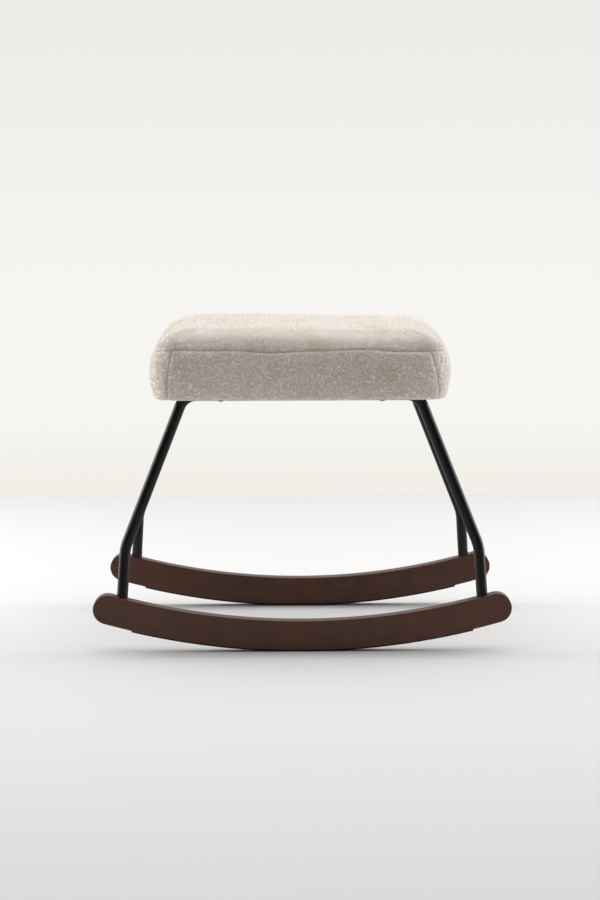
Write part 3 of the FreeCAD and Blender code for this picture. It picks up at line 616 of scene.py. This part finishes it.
def patch(points, loop):
    """A grid inside a loop: its new points, and its cells as vertex numbers."""
    front, right, rear, left = loop_sides(loop)
    rear, left = rear[::-1], left[::-1]
    grid = np.zeros((CELLS_FRONT + 1, CELLS_SIDE + 1), int)
    grid[:, 0], grid[:, -1] = front, rear
    grid[0, :], grid[-1, :] = left, right
    fresh = []
    for i in range(1, CELLS_FRONT):
        for j in range(1, CELLS_SIDE):
            u, v = i / CELLS_FRONT, j / CELLS_SIDE
            sides = (
                (1 - v) * points[front[i]] + v * points[rear[i]]
                + (1 - u) * points[left[j]] + u * points[right[j]])
            ends = (
                (1 - u) * (1 - v) * points[front[0]] + u * (1 - v) * points[front[-1]]
                + (1 - u) * v * points[rear[0]] + u * v * points[rear[-1]])
            grid[i, j] = len(points) + len(fresh)
            fresh.append(sides - ends)
    cells = [
        (grid[i, j], grid[i + 1, j], grid[i + 1, j + 1], grid[i, j + 1])
        for i in range(CELLS_FRONT) for j in range(CELLS_SIDE)]
    return np.array(fresh), [tuple(int(corner) for corner in cell) for cell in cells]


def crown(points):
    """Lifts the middle of the top into a shallow dome."""
    reach_x, reach_y = HALF_WIDTH - CROWN_REACH, HALF_DEPTH - CROWN_REACH
    x, y = points[:, 0] / reach_x, points[:, 1] / reach_y
    dome = (1 - np.abs(x) ** 3) * (1 - np.abs(y) ** 3)
    points[:, 2] += (CROWN - points[:, 2]) * np.clip(dome, 0, 1)
    return points


def leaning(points):
    """Lowers the right half of the top a little, as in the photograph."""
    above = smooth(SEAM_HEIGHT, SEAM_HEIGHT + SHOULDER_LIFT, points[:, 2])
    points[:, 2] -= TOP_LEAN * above * smooth(LEAN_START, LEAN_END, points[:, 0])
    return points


def bowed(points):
    """Draws the front corners in a little, most on the right, as in the photograph."""
    ahead = np.clip(-points[:, 1] / HALF_DEPTH, 0, 1)
    across = points[:, 0] / HALF_WIDTH
    pull = np.where(across > 0, -RIGHT_BOW, LEFT_BOW)
    points[:, 0] += pull * ahead ** 2 * across ** 2
    return points


def seam_wave(share):
    """How far the top seam wanders up and down on its way round."""
    long = LONG_WAVE * np.cos(2 * math.pi * (LONG_WAVE_COUNT * share + LONG_WAVE_START))
    return long + SHORT_WAVE * np.cos(2 * math.pi * SHORT_WAVE_COUNT * share)


def cushion_skin():
    """The closed skin before it is stuffed: its points and faces, and how its grid is counted."""
    side = evenly(side_profile(), CELL)
    shoulder = evenly(shoulder_profile(), CELL)[1:]
    seam_row = len(side) - 1
    profile = np.concatenate((side, shoulder))
    rows = []
    for row, (inset, height) in enumerate(profile):
        loop, share = rounded_outline(inset, height)
        nearness = max(0, 1 - abs(row - seam_row) / WAVE_ROWS)
        loop[:, 2] += seam_wave(share) * nearness
        rows.append(loop)
    around = len(rows[0])
    points = np.concatenate(rows)
    faces = []
    for row in range(len(rows) - 1):
        for k in range(around):
            after = (k + 1) % around
            low, high = row * around, (row + 1) * around
            faces.append((low + k, low + after, high + after, high + k))
    last = np.arange(around) + (len(rows) - 1) * around
    fresh, cells = patch(points, last)
    points = np.concatenate((points, crown(fresh)))
    faces += cells
    outer = len(points)
    under, cap = patch(points, np.arange(around))
    points = leaning(bowed(np.concatenate((points, under))))
    faces += [cell[::-1] for cell in cap]
    return points, faces, around, seam_row, len(rows), outer, len(cap)


def seam_distance(points, around, seam_row, rows):
    """Distance of each skin point from the nearest seam, in metres, up to a few cells."""
    far = 10 * CELL
    distance = np.full(len(points), far)
    column = np.arange(around)
    apart = [abs(column - corner) for corner in corner_columns()]
    nearest = np.min([np.minimum(steps, around - steps) for steps in apart], axis=0)
    for row in range(rows):
        to_top = abs(row - seam_row) * CELL
        to_corner = nearest * CELL if row <= seam_row else np.full(around, far)
        distance[row * around:(row + 1) * around] = np.minimum(np.minimum(to_top, to_corner), far)
    return distance


def stuff(mesh, held):
    """Swells the skin with cloth under pressure, and returns where its points end up.

    A point's move levels off towards the limit, so that the skin stays near the cover's size.
    """
    start = get_points(mesh)
    bag = new_object("stuffing_bag", mesh.copy())
    group = bag.vertex_groups.new(name="held")
    for weight in np.unique(held[held > 0]):
        group.add([int(k) for k in np.flatnonzero(held == weight)], float(weight), "REPLACE")
    cloth = bag.modifiers.new("Cloth", "CLOTH")
    cloth.settings.quality = 6
    cloth.settings.mass = 0.35
    cloth.settings.tension_stiffness = 25
    cloth.settings.compression_stiffness = 25
    cloth.settings.shear_stiffness = 8
    cloth.settings.bending_stiffness = 2.5
    cloth.settings.vertex_group_mass = "held"
    cloth.settings.use_pressure = True
    cloth.settings.uniform_pressure_force = 4
    cloth.settings.effector_weights.gravity = 0
    cloth.collision_settings.use_collision = False
    scene = bpy.context.scene
    for step in range(STUFFING_FRAMES):
        scene.frame_set(step + 1)
    seen = bag.evaluated_get(bpy.context.evaluated_depsgraph_get())
    swollen = bpy.data.meshes.new_from_object(seen)
    moved = get_points(swollen) - start
    scene.frame_set(1)
    bpy.data.objects.remove(bag)
    reach = np.linalg.norm(moved, axis=1)
    share = STUFFING_LIMIT * np.tanh(reach / STUFFING_LIMIT) / np.maximum(reach, 1e-9)
    return start + moved * share[:, None]


def lining_profile():
    """(inset, height) of the cover's inside, from the hem's inner edge up to under the crown."""
    flange_low, flange_high = FLANGE_HEIGHTS
    turn_in = HEM_REACH - COVER_THICKNESS
    flange_end = HEM_REACH + FLANGE_WIDTH
    edge, floor = BOTTOM_PULL + COVER_THICKNESS, BOTTOM + COVER_THICKNESS
    points = [
        (HEM_REACH, flange_low), (flange_end, flange_low), (flange_end, flange_high),
        (turn_in, flange_high), (turn_in, floor),
        (edge + LEAST_GAP, floor), (edge, floor + LEAST_GAP),
        (COVER_THICKNESS, WAIST_HEIGHT),
        (SEAM_PULL + COVER_THICKNESS + LEAST_GAP, SEAM_HEIGHT - LEAST_GAP)]
    over = (SEAM_PULL + SHOULDER_RUN, SEAM_HEIGHT + SHOULDER_LIFT - COVER_THICKNESS - LEAST_GAP)
    shoulder = quarter(points[-1], over, "height", 5)
    points += [tuple(point) for point in shoulder[1:]]
    points.append((LINING_REACH, CROWN - COVER_THICKNESS - TOP_LEAN))
    return points


def line_inside(mesh):
    """Closes the skin with a lining, so that the cover is a shell round the wadding."""
    shell = bmesh.new()
    shell.from_mesh(mesh)
    rim = [edge for edge in shell.edges if edge.is_boundary]
    start = min(rim, key=lambda edge: tuple(edge.verts[0].co))
    loop, edge = [start.verts[0]], start
    while True:
        vertex = edge.other_vert(loop[-1])
        if vertex == loop[0]:
            break
        loop.append(vertex)
        edge = next(other for other in vertex.link_edges if other.is_boundary and other != edge)
    pairs = zip(loop, loop[1:] + loop[:1])
    if sum(one.co.x * other.co.y - other.co.x * one.co.y for one, other in pairs) < 0:
        loop.reverse()
    outline = np.array([vertex.co[:2] for vertex in loop])
    last_ring = loop
    for inset, height in lining_profile():
        ring = leaning(bowed(np.array(inset_loop(outline, inset, height))))
        fresh = [shell.verts.new(point) for point in ring]
        for k in range(len(loop)):
            after = (k + 1) % len(loop)
            shell.faces.new((last_ring[k], fresh[k], fresh[after], last_ring[after]))
        last_ring = fresh
    shell.faces.new(last_ring[::-1])
    bmesh.ops.recalc_face_normals(shell, faces=shell.faces)
    shell.to_mesh(mesh)
    shell.free()


def inset_loop(outline, inset, height):
    """The hem's loop moved to another inset, keeping each point's share of the way round."""
    bend = max(CORNER - inset, LEAST_CORNER)
    flat_x, flat_y = HALF_WIDTH - inset - bend, HALF_DEPTH - inset - bend
    from_bend = max(CORNER - HEM_REACH, LEAST_CORNER)
    from_x, from_y = HALF_WIDTH - HEM_REACH - from_bend, HALF_DEPTH - HEM_REACH - from_bend
    x, y = outline[:, 0], outline[:, 1]
    core_x, core_y = np.clip(x, -from_x, from_x), np.clip(y, -from_y, from_y)
    out = np.column_stack((x - core_x, y - core_y))
    out /= np.maximum(np.linalg.norm(out, axis=1), 1e-9)[:, None]
    return [
        (cx * flat_x / from_x + ox * bend, cy * flat_y / from_y + oy * bend, height)
        for cx, cy, (ox, oy) in zip(core_x, core_y, out)]


def make_cushion(finish):
    """The plush cushion: stuffed, creased along its seams and closed with a lining."""
    points, faces, around, seam_row, rows, outer, caps = cushion_skin()
    skin = new_mesh("cushion_skin", points, faces)
    under = smooth(BOTTOM, BOTTOM + EDGE_ROUNDING, points[:, 2])
    points = points - normals_of(skin) * (SLACK * under)[:, None]
    set_points(skin, points)
    distance = seam_distance(points, around, seam_row, rows)
    held = np.where(distance < CELL / 2, SEAM_HOLD, 0.0)
    held[points[:, 2] < BOTTOM + 0.5 * MM] = 1.0
    points = stuff(skin, held)
    skin = new_mesh("cushion_skin", points[:outer], faces[:len(faces) - caps])
    set_field(skin, "seam_distance", distance[:outer])
    shade_smooth(skin)
    thing = new_object("cushion_skin", skin)
    finer = thing.modifiers.new("finer", "SUBSURF")
    finer.levels = finer.render_levels = 1
    mesh = plain_mesh(thing)
    bpy.data.objects.remove(thing)
    places, out = get_points(mesh), normals_of(mesh)
    gap = get_field(mesh, "seam_distance")
    crease = np.exp(-(gap / SEAM_HALF_WIDTH) ** 2) * SEAM_DEPTH
    set_points(mesh, places - out * crease[:, None])
    make_pile(mesh, fibre_finish("plush_tips"))
    line_inside(mesh)
    shade_smooth(mesh)
    mesh.materials.append(finish)
    cushion = new_object("plush_cushion", mesh)
    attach(cushion, "root")
    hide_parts("cover_top_panel", "cover_front_panel", "cover_rear_panel",
                "cover_left_panel", "cover_right_panel")


def make_wadding(finish):
    """The wadding, smaller and lower than its solid and bowed like the cover that it is under."""
    node = frame["nodes"]["wadding_wrap"]
    mesh = node.data.copy()
    mesh.transform(node.matrix_world)
    points = get_points(mesh)
    points[:, :2] *= WADDING_SHARE
    points[:, 2] -= np.where(points[:, 2] > SEAM_HEIGHT, WADDING_DROP, 0)
    set_points(mesh, leaning(bowed(points)))
    for slot in range(len(mesh.materials)):
        mesh.materials[slot] = finish
    wadding = new_object("wadding_layer", mesh)
    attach(wadding, "root")
    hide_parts("wadding_wrap")


def pile_places(skin):
    """A plain copy of the skin that the pile grows on, without the hem below and the seams."""
    base = bmesh.new()
    base.from_mesh(skin)
    gap = base.verts.layers.float["seam_distance"]
    bare = [
        face for face in base.faces
        if face.calc_center_median().z < BOTTOM + BARE_HEM
        or min(vertex[gap] for vertex in face.verts) < BARE_SEAM]
    bmesh.ops.delete(base, geom=bare, context="FACES")
    mesh = bpy.data.meshes.new("pile_base")
    base.to_mesh(mesh)
    base.free()
    return new_object("pile_base", mesh)


def make_pile(skin, finish):
    """Short leaning fibres all over the cushion, which soften its outline."""
    base = pile_places(skin)
    growth = Growth("pile", Density=PILE_DENSITY, Length=PILE_LENGTH, Thickness=PILE_THICKNESS, Seed=4)
    points = growth.node("GeometryNodeDistributePointsOnFaces", {}, {
        "Mesh": growth.given("Geometry"), "Density": growth.given("Density"), "Seed": growth.given("Seed")})
    upright = Wire(growth, points.socket.node.outputs["Normal"])
    swirl = growth.node("ShaderNodeTexNoise", {}, {"Scale": PILE_SWIRL, "Detail": 1.0}, output="Color")
    centred = growth.node("ShaderNodeVectorMath", {"operation": "SUBTRACT"}, {0: swirl, 1: (0.5, 0.5, 0.5)})
    lean = growth.node("ShaderNodeVectorMath", {"operation": "SCALE"}, {0: centred, "Scale": PILE_LEAN})
    way = growth.node("ShaderNodeVectorMath", {"operation": "ADD"}, {0: upright, 1: lean})
    turned = growth.node("FunctionNodeAlignRotationToVector", {"axis": "Z"}, {"Vector": way})
    fibre = growth.node("GeometryNodeMeshCone", {"fill_type": "NGON"}, {
        "Vertices": 3, "Radius Top": 0.0, "Radius Bottom": growth.given("Thickness"),
        "Depth": growth.given("Length")})
    size = growth.random_size(PILE_SIZES, 9)
    grown = growth.node("GeometryNodeInstanceOnPoints", {}, {
        "Points": points, "Instance": fibre, "Rotation": turned, "Scale": size})
    mesh = growth.finish(grown, base, finish)
    bpy.data.objects.remove(base)
    pile = new_object("cushion_pile", mesh)
    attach(pile, "root")


def make_welds(finish):
    """A row of overlapping beads round each joint of a cross tube with a leg frame."""
    places = []
    for side_x in (-1, 1):
        for side_y in (-1, 1):
            for turn in BEAD_TURNS:
                across = math.cos(math.radians(turn)) * TUBE_RADIUS
                height = WELD_HEIGHT + math.sin(math.radians(turn)) * TUBE_RADIUS
                places.append((side_x * WELD_X + across, side_y * (WELD_Y - abs(across)), height))
    base = new_object("weld_places", new_mesh("weld_places", places, []))
    growth = Growth("weld", Radius=BEAD_RADIUS, Seed=2)
    points = growth.node("GeometryNodeMeshToPoints", {}, {"Mesh": growth.given("Geometry")})
    bead = growth.node("GeometryNodeMeshIcoSphere", {}, {
        "Radius": growth.given("Radius"), "Subdivisions": 2})
    size = growth.random_size(BEAD_SIZES, growth.given("Seed"))
    beads = growth.node("GeometryNodeInstanceOnPoints", {}, {
        "Points": points, "Instance": bead, "Scale": size})
    mesh = growth.finish(beads, base, finish)
    shade_smooth(mesh)
    bpy.data.objects.remove(base)
    welds = new_object("weld_beads", mesh)
    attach(welds, "root")


def cloth_sag(x, y, half_x, half_y):
    """How far the dust cloth hangs between its edges and the tubes that it passes over."""
    to_edge = np.minimum(half_x - np.abs(x), half_y - np.abs(y))
    to_tube = np.minimum(np.abs(np.abs(x) - WELD_X), np.abs(np.abs(y) - WELD_Y)) - TUBE_RADIUS
    slack = smooth(0, SAG_RUN, to_edge) * smooth(TUBE_CLEARANCE, SAG_RUN, to_tube)
    ripple = 0.5 + 0.5 * np.sin(x / PUCKER_PITCH + 3 * np.sin(y / PUCKER_DRIFT))
    near_edge = smooth(PUCKER_WIDTH, PUCKER_EDGE, to_edge) * smooth(0, PUCKER_EDGE, to_edge)
    pucker = near_edge * ripple * smooth(TUBE_CLEARANCE, PUCKER_CLEARANCE, to_tube)
    return slack * CLOTH_SAG + pucker * CLOTH_PUCKER


def make_dust_cloth(finish):
    """The thin black cloth stretched under the seat board and stapled round its edge."""
    low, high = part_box("dust_cover")
    half_x, half_y = high.x, high.y
    count_x, count_y = round(2 * half_x / CLOTH_CELL), round(2 * half_y / CLOTH_CELL)
    across = np.linspace(-half_x, half_x, count_x + 1)
    deep = np.linspace(-half_y, half_y, count_y + 1)
    x, y = [axis.ravel() for axis in np.meshgrid(across, deep, indexing="ij")]
    sag = cloth_sag(x, y, half_x, half_y)
    above = np.column_stack((x, y, high.z - sag))
    below = np.column_stack((x, y, low.z - sag))
    row = count_y + 1
    cells = [(i * row + j, (i + 1) * row + j, (i + 1) * row + j + 1, i * row + j + 1)
             for i in range(count_x) for j in range(count_y)
             if not over_bolt((across[i] + across[i + 1]) / 2, (deep[j] + deep[j + 1]) / 2)]
    size = len(x)
    faces = cells + [tuple(size + corner for corner in cell[::-1]) for cell in cells]
    sides = {(cell[k], cell[(k + 1) % 4]): True for cell in cells for k in range(4)}
    faces += [
        (end, start, start + size, end + size) for start, end in sides if (end, start) not in sides]
    mesh = new_mesh("dust_cloth", np.concatenate((above, below)), faces)
    loose = bmesh.new()
    loose.from_mesh(mesh)
    unused = [vertex for vertex in loose.verts if not vertex.link_faces]
    bmesh.ops.delete(loose, geom=unused, context="VERTS")
    loose.to_mesh(mesh)
    loose.free()
    shade_smooth(mesh)
    mesh.materials.append(finish)
    cloth = new_object("dust_cloth", mesh)
    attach(cloth, "root")
    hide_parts("dust_cover")


def over_bolt(x, y):
    """Whether a cell of the dust cloth lies where a seat bolt passes through."""
    return math.hypot(abs(x) - WELD_X, abs(y) - BOLT_Y) < BOLT_HOLE


# Carried nodes


def dress_carried_nodes():
    """Gives every CAD node that stays its finish."""
    finishes = carried_finishes()
    slots = {part["node"]: part["material_slot"] for part in frame["record"]["subparts"]}
    boards = {
        "front_rocker": wood_finish("front_rocker_wood", 0.0),
        "rear_rocker": wood_finish("rear_rocker_wood", 1.7),
    }
    for name, node in frame["nodes"].items():
        if slots[name] in ("plush", "wadding", "dust_cloth"):
            continue
        finish = boards.get(name) or finishes[slots[name]]
        for slot in node.material_slots:
            slot.material = finish


# Studio


def make_camera():
    """The camera that was fitted to the photograph."""
    yaw, tilt, roll = CAMERA_YAW, CAMERA_TILT, CAMERA_ROLL
    level = math.cos(tilt)
    forward = Vector((math.sin(yaw) * level, math.cos(yaw) * level, -math.sin(tilt)))
    right = Vector((math.cos(yaw), -math.sin(yaw), 0))
    up = right.cross(forward)
    across = math.cos(roll) * right + math.sin(roll) * up
    above = -math.sin(roll) * right + math.cos(roll) * up
    lens = bpy.data.cameras.new("studio_camera")
    lens.sensor_fit = "VERTICAL"
    lens.sensor_height = CAMERA_SENSOR
    lens.lens = CAMERA_LENS
    lens.clip_end = 60
    camera = new_object("studio_camera", lens)
    turned = Matrix((across, above, -forward)).transposed().to_4x4()
    camera.matrix_world = Matrix.Translation(Vector(CAMERA_PLACE)) @ turned
    bpy.context.scene.camera = camera


def make_floor():
    """A pale floor that ends behind the stool and can't be seen from below."""
    finish = Finish("studio_floor")
    diffuse = finish.node("ShaderNodeBsdfDiffuse", {}, {"Color": rgb(226, 226, 225)})
    clear = finish.node("ShaderNodeBsdfTransparent")
    behind = finish.node("ShaderNodeNewGeometry", output="Backfacing")
    mixed = finish.node("ShaderNodeMixShader", {}, {0: behind, 1: diffuse, 2: clear})
    finish.node("ShaderNodeOutputMaterial", {}, {"Surface": mixed})
    corners = [
        (-FLOOR_HALF, FLOOR_NEAR, 0), (FLOOR_HALF, FLOOR_NEAR, 0),
        (FLOOR_HALF, FLOOR_FAR, 0), (-FLOOR_HALF, FLOOR_FAR, 0)]
    mesh = new_mesh("studio_floor", corners, [(0, 1, 2, 3)])
    mesh.materials.append(finish.material)
    new_object("studio_floor", mesh)


def make_world():
    """Light that is stronger from behind the stool, and a pale wall that only the camera sees."""
    world = bpy.data.worlds.new("studio")
    world.use_nodes = True
    bpy.context.scene.world = world
    nodes = Nodes(world.node_tree)
    world.node_tree.nodes.clear()
    direction = nodes.node("ShaderNodeTexCoord", output="Generated")
    height = nodes.node("ShaderNodeSeparateXYZ", {}, {0: direction}, output="Z")
    rising = height.ramp(-0.14, -0.095)
    fading = height.ramp(-0.09, 0.09)
    lower = nodes.node("ShaderNodeMix", {"data_type": "RGBA"},
                       {0: rising, 6: rgb(241, 238, 231), 7: rgb(247, 246, 242)}, output=2)
    wall = nodes.node("ShaderNodeMix", {"data_type": "RGBA"},
                      {0: fading, 6: lower, 7: rgb(235, 235, 232)}, output=2)
    seen = nodes.node("ShaderNodeBackground", {}, {"Color": wall, "Strength": 1.0})
    depth = nodes.node("ShaderNodeSeparateXYZ", {}, {0: direction}, output="Y")
    strength = depth.ramp(-0.7, 0.0, 0.09, 0.72)
    light = nodes.node("ShaderNodeBackground", {}, {"Color": rgb(254, 253, 253), "Strength": strength})
    ray = nodes.node("ShaderNodeLightPath", output="Is Camera Ray")
    mixed = nodes.node("ShaderNodeMixShader", {}, {0: ray, 1: light, 2: seen})
    nodes.node("ShaderNodeOutputWorld", {}, {"Surface": mixed})


def make_lamp(name, place, aim, width, depth, power):
    data = bpy.data.lights.new(name, "AREA")
    data.shape = "RECTANGLE"
    data.size, data.size_y = width, depth
    data.energy = power
    lamp = new_object(name, data)
    lamp.location = place
    lamp.rotation_euler = (Vector(aim) - Vector(place)).to_track_quat("-Z", "Y").to_euler()


def make_studio():
    bpy.context.scene.view_settings.view_transform = "Standard"
    make_camera()
    make_floor()
    make_world()
    make_lamp("overhead_softbox", (0, 0.35, 2.4), (0, 0, 0.3), 3.6, 3.2, 32)
    make_lamp("left_softbox", (-1.9, 0.5, 0.8), (0, 0, 0.4), 1.2, 1.5, 27)
    make_lamp("right_softbox", (1.9, 0.5, 0.8), (0, 0, 0.4), 1.2, 1.5, 24)


dress_carried_nodes()
make_cushion(plush_finish("plush_pile"))
make_wadding(wadding_finish("wadding_layer"))
make_dust_cloth(dust_cloth_finish("dust_cloth"))
make_welds(powder_coat_finish("weld_powder_coat"))
make_studio()
